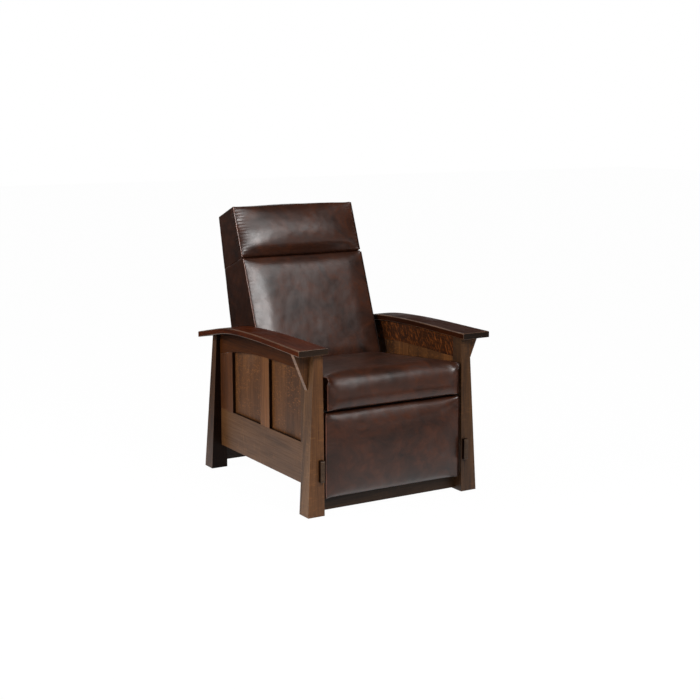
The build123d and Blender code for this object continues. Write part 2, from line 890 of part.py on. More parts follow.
def main():
    os.makedirs("parts", exist_ok=True)
    save_pair("front_post", make_post(front_post_face, front_post_rear, front_post_slope_share))
    save_pair("rear_post", make_post(rear_post_face, rear_post_front, -rear_post_slope_share))
    save_pair("arm", make_arm())
    save_pair("corbel", make_corbel())
    save_pair("top_rail", make_top_rail())
    save_pair("bottom_rail", make_bottom_rail())
    save_pair("stiles", make_stiles())
    save_pair("side_panels", make_panels(0))
    save("base_front_rail", make_base_front_rail())
    save("base_rear_rail", make_base_rear_rail())
    save_pair("base_plate", make_base_plate())
    save("base_pins", make_base_pins())
    save("base_screws", make_base_screws())
    save("front_swing_arms", make_swing_arms(front_base_pivot, pin_hole))
    save("rear_swing_arms", make_swing_arms(rear_base_pivot, open_hole))
    save_pair("seat_plate", make_seat_plate())
    save("seat_pins", make_seat_pins())
    save("back_pins", make_back_pins())
    save("seat_side_rails", both(make_seat_side_rail()))
    save("seat_front_rail", make_seat_cross_rail(seat_half_width - soft_gap, seat_rail_front))
    save("seat_rear_rail", make_seat_cross_rail(seat_plate_inner - seat_rail_thickness,
                                                seat_rail_rear - seat_rail_thickness))
    save("seat_screws", make_seat_screws())
    save("seat_straps", make_seat_straps())
    save("seat_cushion", make_seat_cushion())
    save_pair("back_board", make_back_board())
    bottom, middle, top = make_back_rails()
    save("back_bottom_rail", bottom)
    save("back_middle_rail", middle)
    save("back_top_rail", top)
    save("back_straps", make_back_straps())
    save("back_cushion", make_back_cushion())
    save("head_cushion", make_head_cushion())
    save("back_panel", make_back_panel())
    save("back_side_covers", both(make_back_side_cover()))
    save("back_brackets", both(make_back_bracket()))
    save("bracket_spacers", make_bracket_spacers())
    save("bracket_bolts", make_bracket_bolts())
    save("carry_arms", make_carry_arms())
    save("torque_tube", make_torque_tube())
    save("elbow_pins", make_elbow_pins())
    save("guide_arms", make_guide_arms())
    save("guide_pins", make_guide_pins())
    save("reach_links", make_reach_links())
    save("control_links", make_control_links())
    save("footrest_pins", make_footrest_pins())
    save("footrest_board", make_footrest_board())
    save("footrest_pad", make_footrest_pad())
    save("footrest_brackets", make_footrest_brackets())


main()
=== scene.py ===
# A push-back recliner in dark stained oak and mottled brown leather, dressed round its fixed frame.
import bpy
import bmesh
import json
from math import exp, hypot, pi, radians, sin, tanh
from mathutils import Matrix, Vector, kdtree
from mathutils import noise as field


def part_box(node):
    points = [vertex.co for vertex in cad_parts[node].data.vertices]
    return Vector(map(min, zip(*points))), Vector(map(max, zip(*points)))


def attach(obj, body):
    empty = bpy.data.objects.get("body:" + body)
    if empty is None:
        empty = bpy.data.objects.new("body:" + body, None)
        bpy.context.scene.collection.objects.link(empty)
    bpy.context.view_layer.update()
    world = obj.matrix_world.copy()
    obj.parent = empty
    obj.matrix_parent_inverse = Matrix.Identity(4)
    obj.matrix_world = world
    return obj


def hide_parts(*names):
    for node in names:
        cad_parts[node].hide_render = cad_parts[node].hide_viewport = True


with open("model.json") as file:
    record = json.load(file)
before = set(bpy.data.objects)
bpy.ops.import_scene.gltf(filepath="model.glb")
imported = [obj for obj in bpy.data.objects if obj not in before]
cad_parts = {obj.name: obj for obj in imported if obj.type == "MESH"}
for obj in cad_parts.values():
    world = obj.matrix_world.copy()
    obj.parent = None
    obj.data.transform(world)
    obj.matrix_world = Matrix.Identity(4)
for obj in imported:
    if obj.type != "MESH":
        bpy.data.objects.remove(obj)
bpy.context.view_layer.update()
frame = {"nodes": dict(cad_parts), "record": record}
nodes = frame["nodes"]
print("frame loaded:", len(nodes), "nodes")


# Material building blocks

def setSockets(node, values):
    for socket, value in values.items():
        node.inputs[socket].default_value = value


def plug(tree, node, outputs):
    for socket, output in outputs.items():
        tree.links.new(output, node.inputs[socket])


def addNode(tree, kind, outputs=None, values=None, **settings):
    node = tree.nodes.new("ShaderNode" + kind)
    for name, value in settings.items():
        setattr(node, name, value)
    setSockets(node, values or {})
    plug(tree, node, outputs or {})
    return node


def newMaterial(name):
    material = bpy.data.materials.new(name)
    material.use_nodes = True
    tree = material.node_tree
    tree.nodes.clear()
    shader = addNode(tree, "BsdfPrincipled")
    addNode(tree, "OutputMaterial", {"Surface": shader.outputs["BSDF"]})
    return material, tree, shader


def objectPattern(tree, scale=(1.0, 1.0, 1.0), turn=(0.0, 0.0, 0.0)):
    # turned first and stretched after, so that a stretched pattern lies at a tilt
    coords = addNode(tree, "TexCoord")
    turned = addNode(tree, "Mapping", {"Vector": coords.outputs["Object"]}, {"Rotation": turn})
    stretched = addNode(tree, "Mapping", {"Vector": turned.outputs["Vector"]}, {"Scale": scale})
    return stretched.outputs["Vector"]


def grainPattern(tree, grain, marks, tilt=0.0):
    # marks are counted per metre, across the axis that the fibres run along and then along it
    across, along = marks
    scale = [across] * 3
    scale[grain] = along
    return objectPattern(tree, scale, (tilt, 0.0, 0.0))


def noise(tree, vector, scale, detail, roughness, distortion=0.0):
    node = addNode(tree, "TexNoise", {"Vector": vector}, {
        "Scale": scale, "Detail": detail, "Roughness": roughness, "Distortion": distortion})
    return node.outputs["Fac"]


def combine(tree, operation, first, second):
    return addNode(tree, "Math", {0: first, 1: second}, operation=operation).outputs[0]


def ramp(tree, factor, stops):
    node = addNode(tree, "ValToRGB", {"Fac": factor})
    elements = node.color_ramp.elements
    while len(elements) < len(stops):
        elements.new(0.5)
    for element, (place, colour) in zip(elements, stops):
        element.position = place
        element.color = (*colour, 1.0)
    return node.outputs["Color"]


def span(tree, factor, source, target=(0.0, 1.0)):
    # the stretch of values named source, laid over the one named target
    names = "From Min", "From Max", "To Min", "To Max"
    values = dict(zip(names, (*source, *target)))
    return addNode(tree, "MapRange", {"Value": factor}, values).outputs["Result"]


def mixColours(tree, factor, first, second):
    # the sockets of a Mix node that mixes colours, by their place in it
    factorIn, firstIn, secondIn, colourOut = 0, 6, 7, 2
    node = addNode(tree, "Mix", {factorIn: factor}, data_type="RGBA")
    for socket, colour in ((firstIn, first), (secondIn, second)):
        if hasattr(colour, "links"):
            plug(tree, node, {socket: colour})
        else:
            setSockets(node, {socket: (*colour, 1.0)})
    return node.outputs[colourOut]


def bump(tree, height, strength, distance, before=None):
    outputs = {"Height": height, "Normal": before} if before else {"Height": height}
    node = addNode(tree, "Bump", outputs, {"Strength": strength, "Distance": distance})
    return node.outputs["Normal"]


def tinted(colour, shade):
    return [channel * part for channel, part in zip(colour, shade)]


# Materials. A bump is a strength and a distance, and an edge is the two noise values that a mark
# fades in between.

alongX, alongY, alongZ = 0, 1, 2
midNoise = (0.3, 0.7)  # nearly all of a noise's values lie in here

oakLook = {
    "deep": (0.024, 0.0095, 0.0036),
    "brown": (0.056, 0.0225, 0.0070),
    "warm": (0.088, 0.0360, 0.0110),
    "fleck": (0.165, 0.0660, 0.0185),
    "stops": ((0.12, "deep"), (0.46, "brown"), (0.85, "warm")),
    # marks per metre, across the grain and along it
    "bands": (14.0, 1.4),
    "fibres": (260.0, 7.0),
    "pores": (820.0, 40.0),
    "rays": (34.0, 150.0),
    "fineRays": (80.0, 190.0),
    "railRays": (46.0, 230.0),
    "patches": (8.0, 8.0),
    "rayEdge": (0.54, 0.66),
    "patchFade": 0.20,
    "poreEdge": (0.42, 0.30), "poreShare": 0.40, "poreBump": (0.25, 0.0004),
    "roughness": (0.50, 0.36),
}


def stainedOak(name, grain, fleck, shade, gloss=0.24, calm=0.35, spread=0.42,
               rays="rays", rayTilt=0.0, rayWaver=0.8, rayGain=1.0):
    # a calm wood has little contrast between its bands, and a low spread lets the fleck in all over
    look = oakLook
    material, tree, shader = newMaterial(name)

    def marks(key, detail, roughness, distortion=0.0, tilt=0.0):
        pattern = grainPattern(tree, grain, look[key], tilt)
        return noise(tree, pattern, 1.0, detail, roughness, distortion)

    bands = marks("bands", detail=2.0, roughness=0.5, distortion=0.6)
    fibres = marks("fibres", detail=4.0, roughness=0.6, distortion=0.2)
    pores = marks("pores", detail=2.0, roughness=0.5)
    flecks = marks(rays, detail=2.0, roughness=0.5, distortion=rayWaver, tilt=rayTilt)
    patches = marks("patches", detail=2.0, roughness=0.55)
    stain = span(tree, combine(tree, "ADD", bands, fibres), (1.0 - calm, 1.0 + calm))
    colour = ramp(tree, stain, [(place, tinted(look[key], shade)) for place, key in look["stops"]])
    flecked = span(tree, flecks, look["rayEdge"])
    patched = span(tree, patches, (spread, spread + look["patchFade"]), (0.0, fleck))
    bright = tinted(tinted(look["fleck"], shade), [rayGain] * 3)
    colour = mixColours(tree, combine(tree, "MULTIPLY", flecked, patched), colour, bright)
    pored = span(tree, pores, look["poreEdge"], (0.0, look["poreShare"]))
    colour = mixColours(tree, pored, colour, tinted(look["deep"], shade))
    plug(tree, shader, {"Base Color": colour,
                        "Roughness": span(tree, fibres, midNoise, look["roughness"]),
                        "Normal": bump(tree, pores, *look["poreBump"])})
    setSockets(shader, {"Specular IOR Level": gloss})
    return material


leatherLook = {
    "dark": (0.009, 0.0034, 0.0020),
    "brown": (0.023, 0.0070, 0.0031),
    "red": (0.043, 0.0118, 0.0043),
    "grey": (0.029, 0.0142, 0.0108),
    "stops": ((0.32, "dark"), (0.45, "brown"), (0.58, "red"), (0.70, "grey")),
    # marks per metre
    "patch": 9.0,
    "mottle": 30.0, "mottleEdge": (0.38, 0.64), "mottleShare": 0.75,
    "crease": 90.0, "creaseBump": (0.08, 0.0015),
    "pebble": 900.0, "pebbleBump": (0.16, 0.0002),
}


def mottledLeather(name, shade=1.0, shine=0.42, roughness=(0.30, 0.38)):
    look = leatherLook
    material, tree, shader = newMaterial(name)
    tones = {key: tinted(look[key], [shade] * 3) for _, key in look["stops"]}
    plain = objectPattern(tree)
    patch = noise(tree, plain, look["patch"], detail=4.0, roughness=0.6, distortion=0.8)
    mottle = noise(tree, plain, look["mottle"], detail=4.0, roughness=0.6, distortion=0.3)
    creases = noise(tree, plain, look["crease"], detail=3.0, roughness=0.6, distortion=0.2)
    pebble = addNode(tree, "TexVoronoi", {"Vector": plain},
                     {"Scale": look["pebble"], "Randomness": 1.0}, feature="DISTANCE_TO_EDGE")
    colour = ramp(tree, patch, [(place, tones[key]) for place, key in look["stops"]])
    mottled = span(tree, mottle, look["mottleEdge"], (0.0, look["mottleShare"]))
    creased = bump(tree, creases, *look["creaseBump"])
    pebbled = bump(tree, pebble.outputs["Distance"], *look["pebbleBump"], creased)
    plug(tree, shader, {"Base Color": mixColours(tree, mottled, colour, tones["brown"]),
                        "Roughness": span(tree, mottle, midNoise, roughness),
                        "Normal": pebbled})
    setSockets(shader, {"Specular IOR Level": shine})
    return material


rawLook = {
    "stops": ((0.28, (0.30, 0.19, 0.10)), (0.52, (0.46, 0.32, 0.19)), (0.75, (0.58, 0.43, 0.28))),
    "fibres": (70.0, 2.5),
    "roughness": (0.72, 0.58),
    "bump": (0.3, 0.0005),
}


def rawWood(name, grain):
    material, tree, shader = newMaterial(name)
    pattern = grainPattern(tree, grain, rawLook["fibres"])
    fibres = noise(tree, pattern, 1.0, detail=5.0, roughness=0.6, distortion=0.3)
    plug(tree, shader, {"Base Color": ramp(tree, fibres, rawLook["stops"]),
                        "Roughness": span(tree, fibres, midNoise, rawLook["roughness"]),
                        "Normal": bump(tree, fibres, *rawLook["bump"])})
    return material


metalLook = {
    "places": (0.35, 0.65),
    "bump": (0.12, 0.0003),
}


def metalFinish(name, tones, metallic, roughness, marks):
    material, tree, shader = newMaterial(name)
    grain = noise(tree, objectPattern(tree), marks, detail=3.0, roughness=0.6)
    plug(tree, shader, {"Base Color": ramp(tree, grain, list(zip(metalLook["places"], tones))),
                        "Roughness": span(tree, grain, midNoise, roughness),
                        "Normal": bump(tree, grain, *metalLook["bump"])})
    setSockets(shader, {"Metallic": metallic})
    return material


webbingLook = {
    "stops": ((0.1, (0.020, 0.018, 0.017)), (0.8, (0.085, 0.078, 0.070))),
    "threads": (("X", 120.0), ("DIAGONAL", 160.0)),
    "waver": 0.4,
    "bump": (0.6, 0.0006),
    "roughness": 0.85,
}


def wovenWebbing(name):
    look = webbingLook
    material, tree, shader = newMaterial(name)
    plain = objectPattern(tree)
    warp, weft = [
        addNode(tree, "TexWave", {"Vector": plain}, {"Scale": scale, "Distortion": look["waver"]},
                wave_type="BANDS", bands_direction=way).outputs["Fac"]
        for way, scale in look["threads"]]
    weave = combine(tree, "MULTIPLY", warp, weft)
    plug(tree, shader, {"Base Color": ramp(tree, weave, look["stops"]),
                        "Normal": bump(tree, weave, *look["bump"])})
    setSockets(shader, {"Roughness": look["roughness"]})
    return material


# the axis of the grain, how much fleck shows, and what the tones are multiplied by
oakUpright = stainedOak("oakUpright", alongZ, 0.30, (1.13, 1.10, 1.12))
# painted sheen: a paler, greyer copy for the front posts' outer faces
oakPaintedSheen = stainedOak("oakPaintedSheen", alongZ, 0.30, (1.30, 1.50, 1.95))
# a deeper copy: painted shade on the right front post, and the darker front stile
oakDeepAndShaded = stainedOak("oakDeepAndShaded", alongZ, 0.30, (0.74, 0.80, 0.95))
oakRed = stainedOak("oakRed", alongZ, 0.30, (0.72, 0.54, 0.38))
# painted shade: a dimmer copy for the rear posts
oakRearShaded = stainedOak("oakRearShaded", alongZ, 0.40, (0.62, 0.55, 0.48))
oakStile = stainedOak("oakStile", alongZ, 0.20, (1.45, 1.32, 1.12))
oakPanel = stainedOak("oakPanel", alongZ, 0.80, (0.96, 0.88, 0.78), spread=0.30, rays="fineRays")
oakLengthwise = stainedOak("oakLengthwise", alongY, 0.30, (1.10, 1.13, 1.15), calm=0.60)
# a darker, redder stain on the left arm, partly painted shade for the little light on its top
oakArmStainAndShade = stainedOak("oakArmStainAndShade", alongY, 0.40, (0.58, 0.25, 0.10), gloss=0.06)
# painted shade: the right arm in a darker copy of the same oak
oakArmShaded = stainedOak("oakArmShaded", alongY, 0.30, (0.32, 0.16, 0.07), gloss=0.06)
# painted shadow: a darker copy for the top rails' outer faces, under the arms
oakRailShaded = stainedOak("oakRailShaded", alongY, 0.20, (0.48, 0.32, 0.18), gloss=0.10)
oakFigured = stainedOak("oakFigured", alongY, 1.0, (0.60, 0.42, 0.30), gloss=0.13, spread=0.05,
                        rays="railRays", rayTilt=0.5, rayWaver=0.2, rayGain=1.7)
# a dark stain on the cross rails and footrest board, which also paints in the shade in the gaps
# under the seat and footrest
oakCrosswiseAndShade = stainedOak("oakCrosswiseAndShade", alongX, 0.20, (0.32, 0.38, 0.52), gloss=0.16)
# painted shade: a near-black copy for the reveals, the rear posts' front faces and the tenons'
# sides
oakPaintedShade = stainedOak("oakPaintedShade", alongZ, 0.10, (0.15, 0.13, 0.15), gloss=0.08)
oakEnd = stainedOak("oakEnd", alongX, 0.0, (0.26, 0.30, 0.40), gloss=0.20)
oakTenon = stainedOak("oakTenon", alongX, 0.0, (0.62, 0.82, 1.30))
# painted highlight: a pale copy for the corbels' slanted faces
oakPaintedHighlight = stainedOak("oakPaintedHighlight", alongY, 0.0, (2.0, 2.2, 2.9), gloss=0.5)
# painted highlight: a pale copy for the arms' eased edges
oakPaintedEdgeHighlight = stainedOak("oakPaintedEdgeHighlight", alongY, 0.0, (1.0, 1.0, 1.1), gloss=0.5)
hide = mottledLeather("hide")
# painted shade: a darker leather for the sides of the back and head and the right-hand welts
hidePaintedShade = mottledLeather("hidePaintedShade", shade=0.48, shine=0.08, roughness=(0.42, 0.50))
# painted highlight: a pale leather for the left-hand welts
hidePaintedHighlight = mottledLeather("hidePaintedHighlight", shade=3.0, shine=0.7)
pineUpright = rawWood("pineUpright", alongZ)
pineCrosswise = rawWood("pineCrosswise", alongX)
blackSteel = metalFinish("blackSteel", ((0.016, 0.016, 0.017), (0.030, 0.030, 0.032)),
                         metallic=0.0, roughness=(0.36, 0.50), marks=260.0)
zincSteel = metalFinish("zincSteel", ((0.36, 0.36, 0.37), (0.52, 0.52, 0.53)),
                        metallic=1.0, roughness=(0.28, 0.42), marks=180.0)
webbing = wovenWebbing("webbing")
print("materials ready")


# Wood, steel and webbing

def pair(name):
    return [name + "_right", name + "_left"]


finishes = (
    (oakUpright, ["front_post_left", *pair("corbel")]),
    # painted shade: the right front post in a deeper copy of the same oak
    (oakDeepAndShaded, ["front_post_right"]),
    # painted shade: the rear posts in a dimmer copy
    (oakRearShaded, pair("rear_post")),
    (oakStile, pair("stiles")),
    (oakPanel, pair("side_panels")),
    (oakLengthwise, [*pair("bottom_rail"), "seat_side_rails"]),
    # the left arm's stain is partly painted shade, and the right arm's darker copy is painted shade
    (oakArmStainAndShade, ["arm_left"]),
    (oakArmShaded, ["arm_right"]),
    # painted shadow of the arms on the top rails' outer faces
    (oakRailShaded, pair("top_rail")),
    # the dark cross rails also paint in the shade under the seat and footrest
    (oakCrosswiseAndShade, ["base_front_rail", "base_rear_rail", "seat_front_rail", "seat_rear_rail",
                    "footrest_board"]),
    (pineCrosswise, ["back_bottom_rail", "back_middle_rail", "back_top_rail"]),
    (pineUpright, pair("back_board")),
    (webbing, ["seat_straps", "back_straps"]),
    (blackSteel, [*pair("base_plate"), *pair("seat_plate"), "front_swing_arms", "rear_swing_arms",
                  "back_brackets", "carry_arms", "guide_arms", "reach_links", "control_links",
                  "torque_tube", "footrest_brackets"]),
    (zincSteel, ["base_pins", "base_screws", "seat_pins", "back_pins", "seat_screws",
                 "bracket_spacers", "bracket_bolts", "elbow_pins", "guide_pins", "footrest_pins"]),
    (hide, ["seat_cushion", "back_cushion", "head_cushion", "footrest_pad"]),
    (hidePaintedShade, ["back_panel", "back_side_covers"]),
)

for material, names in finishes:
    for name in names:
        mesh = nodes[name].data
        mesh.materials.clear()
        mesh.materials.append(material)
print("finishes given to", sum(len(names) for _, names in finishes), "nodes")

bodies = frame["record"]["behaviour"]["bodies"]
bodyOf = {name: body for body, names in bodies.items() for name in names}


def newPiece(name, bm, material):
    mesh = bpy.data.meshes.new(name)
    bm.to_mesh(mesh)
    bm.free()
    mesh.materials.append(material)
    piece = bpy.data.objects.new(name, mesh)
    bpy.context.collection.objects.link(piece)
    return piece


# the way that a face points on the right-hand side, how nearly it has to, and the span of y that
# its middle is in
outwards, inwards, forwards, upwards = (1, 0, 0), (-1, 0, 0), (0, -1, 0), (0, 0, 1)
downSlope = (0.9, 0, -0.44)
squarely, roughly = 0.9, 0.5
anywhere = (-1.0, 1.0)

easedWood = {
    "edge": {"front_post": 0.0022, "rear_post": 0.0022, "corbel": 0.0012, "stiles": 0.0008,
             "side_panels": 0.0006, "arm": 0.0020, "top_rail": 0.0014, "bottom_rail": 0.0014,
             "base_rear_rail": 0.0014, "base_front_rail": 0.0014},
    "segments": 2,
    "sharperThan": 28.0,
    "mergeWithin": 0.00005, "flatWithin": 0.4,
    # faces with a finish of their own: grain and stile tones, painted shade, a painted sheen and
    # painted highlights
    "faces": {
        # painted sheen on the front posts' outer faces
        "front_post": [(outwards, squarely, anywhere, oakPaintedSheen)],
        # stiles: a redder rear stile, a darker front stile, and painted shade on the faces of the
        # reveals
        "stiles": [(outwards, squarely, (0.20, 1.0), oakRed),
                   (outwards, squarely, (-1.0, -0.20), oakDeepAndShaded),
                   (forwards, squarely, anywhere, oakPaintedShade)],
        "arm": [(forwards, squarely, anywhere, oakEnd)],
        "top_rail": [(inwards, squarely, anywhere, oakFigured)],
        # painted shade on the rear posts' front faces
        "rear_post": [(forwards, squarely, anywhere, oakPaintedShade)],
        # painted highlight on the corbels' slanted faces
        "corbel": [(downSlope, squarely, anywhere, oakPaintedHighlight)],
        # painted shade on the rail's top faces in the reveal and on the tenons' sides
        "bottom_rail": [(upwards, squarely, anywhere, oakPaintedShade),
                        (forwards, roughly, anywhere, oakTenon),
                        (outwards, squarely, (-1.0, -0.40), oakPaintedShade),
                        (inwards, squarely, (-1.0, -0.40), oakPaintedShade)],
    },
    # pieces whose bevels take the painted highlight
    "highlitEdges": ("arm",),
}


def mergedCopy(node):
    look = easedWood
    bm = bmesh.new()
    bm.from_mesh(nodes[node].data)
    bmesh.ops.remove_doubles(bm, verts=bm.verts, dist=look["mergeWithin"])
    bmesh.ops.dissolve_limit(bm, angle_limit=radians(look["flatWithin"]),
                             verts=bm.verts, edges=bm.edges)
    return bm


def easeWood():
    # the sanded edges that the solids leave out
    look = easedWood
    for kind, width in look["edge"].items():
        for name in ([kind] if kind in nodes else pair(kind)):
            piece = newPiece("eased_" + name, mergedCopy(name), nodes[name].data.materials[0])
            side = -1 if name.endswith("_left") else 1
            # some faces take painted shade, a painted sheen or highlight, or a tone of their own
            for (x, y, z), nearly, (front, rear), finish in look["faces"].get(kind, ()):
                facing = Vector((x * side, y, z)).normalized()
                piece.data.materials.append(finish)
                for face in piece.data.polygons:
                    if face.normal.dot(facing) > nearly and front < face.center.y < rear:
                        face.material_index = len(piece.data.materials) - 1
            for face in piece.data.polygons:
                face.use_smooth = True
            piece.data.set_sharp_from_angle(angle=radians(look["sharperThan"]))
            bevel = piece.modifiers.new("eased", "BEVEL")
            bevel.width = width
            bevel.segments = look["segments"]
            bevel.limit_method = "ANGLE"
            bevel.angle_limit = radians(look["sharperThan"])
            bevel.harden_normals = True
            # painted highlight on the arm's bevels
            if kind in look["highlitEdges"]:
                piece.data.materials.append(oakPaintedEdgeHighlight)
                bevel.material = len(piece.data.materials) - 1
            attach(piece, bodyOf[name])
            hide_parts(name)


easeWood()
print("wood eased")


# Upholstery. Each block starts as a box in u, v and w from -1 to 1: to the right, to the rear and
# up. A curve is a sharpness and a steepness, and a rounding is its radius at the side seams and
# between them.

def between(low, high, share):
    return low + share * (high - low)


def gridBlock(cuts):
    # a closed box from -1 to 1, cut into squares along each axis in turn
    side = 2.0
    bm = bmesh.new()
    bmesh.ops.create_cube(bm, size=side)
    for axis, count in enumerate(cuts):
        whole = [edge for edge in bm.edges
                 if abs(edge.verts[0].co[axis] - edge.verts[1].co[axis]) > 0.99 * side]
        bmesh.ops.subdivide_edges(bm, edges=whole, cuts=count, use_grid_fill=True)
    return bm


def roundCorner(point, corner, radius):
    # turn the part of an outline near a corner into an arc; a sign gives the way outwards
    (a, b), (cornerA, signA), (cornerB, signB) = point, *corner
    fromA = (a - cornerA) * signA + radius
    fromB = (b - cornerB) * signB + radius
    if fromA <= 0.0 or fromB <= 0.0:
        return point
    pull = radius / hypot(fromA, fromB)
    return cornerA - signA * (radius - fromA * pull), cornerB - signB * (radius - fromB * pull)


def pillow(u, sharpness, steepness):
    # from 0 at the seams to 1 in the middle
    return max(0.0, 1.0 - abs(u) ** sharpness) ** steepness


def edgeRadius(u, radii):
    crisp, full = radii
    return between(crisp, full, pillow(u, *coverLook["edgeCurve"]))


coverLook = {
    "edgeCurve": (14.0, 0.5),
    "crease": 0.85,
    # how fast the cover is held at the front, and how much more for each unit of v
    "sidesHeld": (0.75, 0.6),
    "endsHeld": (0.35, 0.8),
    "borderHeld": 0.85,
    # the cloth that blows it up
    "pressure": 6.0, "stiffness": 20.0, "bending": 6.0, "quality": 6, "frames": 20,
    "still": 1e-7,
    # the smoothing after it, of points that are held less than this
    "passes": 10, "factor": 0.5, "looserThan": 0.6,
    "sideFacing": 0.85,
}

gatherLook = {
    # slow unevenness all over: its height and marks per metre
    "wave": (0.0009, 9.0),
    "ripple": (0.0004, 34.0),
    # gathers beside a seam: how far they reach, where they begin, how they come and go along it,
    # and how they stray
    "reach": 0.013, "within": 4.0, "begin": 0.004,
    "weakest": 0.1, "strength": 0.55, "swing": 1.1, "swingMarks": 14.0,
    "stray": 2.5, "strayMarks": 22.0,
    "dip": 0.0008, "dipWidth": 0.0035,
    "sidesApart": 3.0,
}

backLook = {
    "lean": 20.9, "footY": 0.093, "footZ": 0.475,
    "topDepth": 0.150, "taper": 0.146, "top": 0.650,
}
leaning = (Matrix.Translation((0.0, backLook["footY"], backLook["footZ"]))
           @ Matrix.Rotation(-radians(backLook["lean"]), 4, "X"))
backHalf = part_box("back_panel")[1].x


def rearDepth(height):
    return backLook["topDepth"] + (backLook["top"] - height) * backLook["taper"]


def roundedEnds(look, u, depth, height):
    # round the top and foot of a block on the back
    top = (look["seamDepth"], -1.0), (look["top"], 1.0)
    foot = (look["seamDepth"], -1.0), (look["low"], -1.0)
    depth, height = roundCorner((depth, height), top, edgeRadius(u, look["roundTop"]))
    depth, height = roundCorner((depth, height), foot, edgeRadius(u, look["roundFoot"]))
    return Vector((u * backHalf, depth, height))


backBlock = {
    "cuts": (76, 24, 66),
    "low": -0.045, "top": 0.4370,
    "seamDepth": -0.005,
    "crown": 0.011, "across": (12.0, 1.0), "upright": (6.0, 1.0),
    "roundTop": (0.005, 0.022), "roundFoot": (0.020, 0.045),
    "cap": 0.003,
    "gather": 0.0006, "gatherStep": 0.016,
}


def backPlace(u, v, w):
    look = backBlock
    height = between(look["low"], look["top"], (w + 1.0) / 2.0)
    front = look["seamDepth"]
    if v == -1.0:
        front -= look["crown"] * pillow(u, *look["across"]) * pillow(w, *look["upright"])
    return roundedEnds(look, u, between(front, rearDepth(height), (v + 1.0) / 2.0), height)


headBlock = {
    "cuts": (76, 24, 44),
    "low": 0.4345, "top": backLook["top"],
    "seamDepth": 0.001,
    # the front's depth at its foot and at its top, and its bulge between them, most of it low down
    "ends": (0.009, 0.004), "bulge": 0.034, "bulgeLow": 0.68,
    "across": (4.5, 1.0),
    "bow": 0.007, "bowPower": 4,
    "roundTop": (0.003, 0.007), "roundFoot": (0.006, 0.026),
    "cap": 0.004,
    "gather": 0.0024, "gatherStep": 0.0135,
}


def headPlace(u, v, w):
    look = headBlock
    share = (w + 1.0) / 2.0
    bowed = look["top"] + look["bow"] * (1.0 - u * u) * share ** look["bowPower"]
    height = between(look["low"], bowed, share)
    front = look["seamDepth"]
    if v == -1.0:
        bulge = look["bulge"] * sin(pi * share ** look["bulgeLow"])
        middle = between(*look["ends"], share) - bulge
        front += (middle - front) * pillow(u, *look["across"])
    return roundedEnds(look, u, between(front, rearDepth(height), (v + 1.0) / 2.0), height)


seatLow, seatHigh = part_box("seat_cushion")
seatBlock = {
    "cuts": (80, 76, 18),
    "half": seatHigh.x,
    "front": seatLow.y + 0.001, "rear": 0.0965,
    "topFront": 0.527, "topRear": 0.478, "seamDrop": 0.013,
    "low": seatLow.z, "rest": 0.4276, "borderDepth": 0.027,
    "crown": 0.011, "across": (8.0, 0.6), "crownRise": 8.0,
    "frontSeam": 0.009, "frontCrown": 0.014, "frontAcross": (12.0, 0.6), "frontShare": 0.2,
    "roundFront": (0.020, 0.076), "roundLow": (0.002, 0.022),
    "backSlope": 0.382, "backGap": 0.002,
    "cap": 0.006,
    "gather": 0.0010, "gatherStep": 0.014,
}


def seatPlace(u, v, w):
    look = seatBlock
    share = (v + 1.0) / 2.0
    y = between(look["front"], look["rear"], share)
    top = between(look["topFront"], look["topRear"], share) - look["seamDrop"]
    edge = look["topFront"] - look["seamDrop"]
    low = look["low"] if y < look["front"] + look["borderDepth"] else look["rest"]
    z = between(low, top, (w + 1.0) / 2.0)
    if share < look["frontShare"]:
        swell = look["frontSeam"] - look["frontCrown"] * pillow(u, *look["frontAcross"])
        y += swell * (1.0 - share / look["frontShare"])
    front = (look["front"], -1.0)
    y, z = roundCorner((y, z), (front, (edge, 1.0)), edgeRadius(u, look["roundFront"]))
    y, z = roundCorner((y, z), (front, (look["low"], -1.0)), edgeRadius(u, look["roundLow"]))
    if w == 1.0:
        z += look["crown"] * pillow(u, *look["across"]) * min(1.0, share * look["crownRise"])
    if w == 1.0 or v == 1.0:
        # it stops short of the leaning back
        behind = backLook["footY"] + (z - backLook["footZ"]) * look["backSlope"] - look["backGap"]
        y = min(y, behind)
    return Vector((u * look["half"], y, z))


padLow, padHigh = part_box("footrest_pad")
padBlock = {
    "cuts": (82, 6, 46),
    "half": padHigh.x,
    "front": padLow.y + 0.008, "rear": padHigh.y,
    "low": padLow.z, "top": padHigh.z,
    "crown": 0.017, "across": (8.0, 1.0), "upright": (3.0, 0.8),
    "roundTop": (0.003, 0.026), "roundFoot": (0.004, 0.026),
    "cap": 0.005,
    "gather": 0.0006, "gatherStep": 0.015,
}


def padPlace(u, v, w):
    look = padBlock
    y = between(look["front"], look["rear"], (v + 1.0) / 2.0)
    z = between(look["low"], look["top"], (w + 1.0) / 2.0)
    front = (look["front"], -1.0)
    y, z = roundCorner((y, z), (front, (look["top"], 1.0)), edgeRadius(u, look["roundTop"]))
    y, z = roundCorner((y, z), (front, (look["low"], -1.0)), edgeRadius(u, look["roundFoot"]))
    if v == -1.0:
        y -= look["crown"] * pillow(u, *look["across"]) * pillow(w, *look["upright"])
    return Vector((u * look["half"], y, z))


def seamSeat(u, v, w):
    return abs(u) == 1.0 and (v == -1.0 or w == 1.0)


def seamSides(u, v, w):
    return abs(u) == 1.0 and v == -1.0


def holdSeat(u, v, w):
    if w == -1.0 or v == 1.0 or seamSeat(u, v, w):
        return 1.0
    return coverLook["borderHeld"] if abs(u) == 1.0 else 0.0


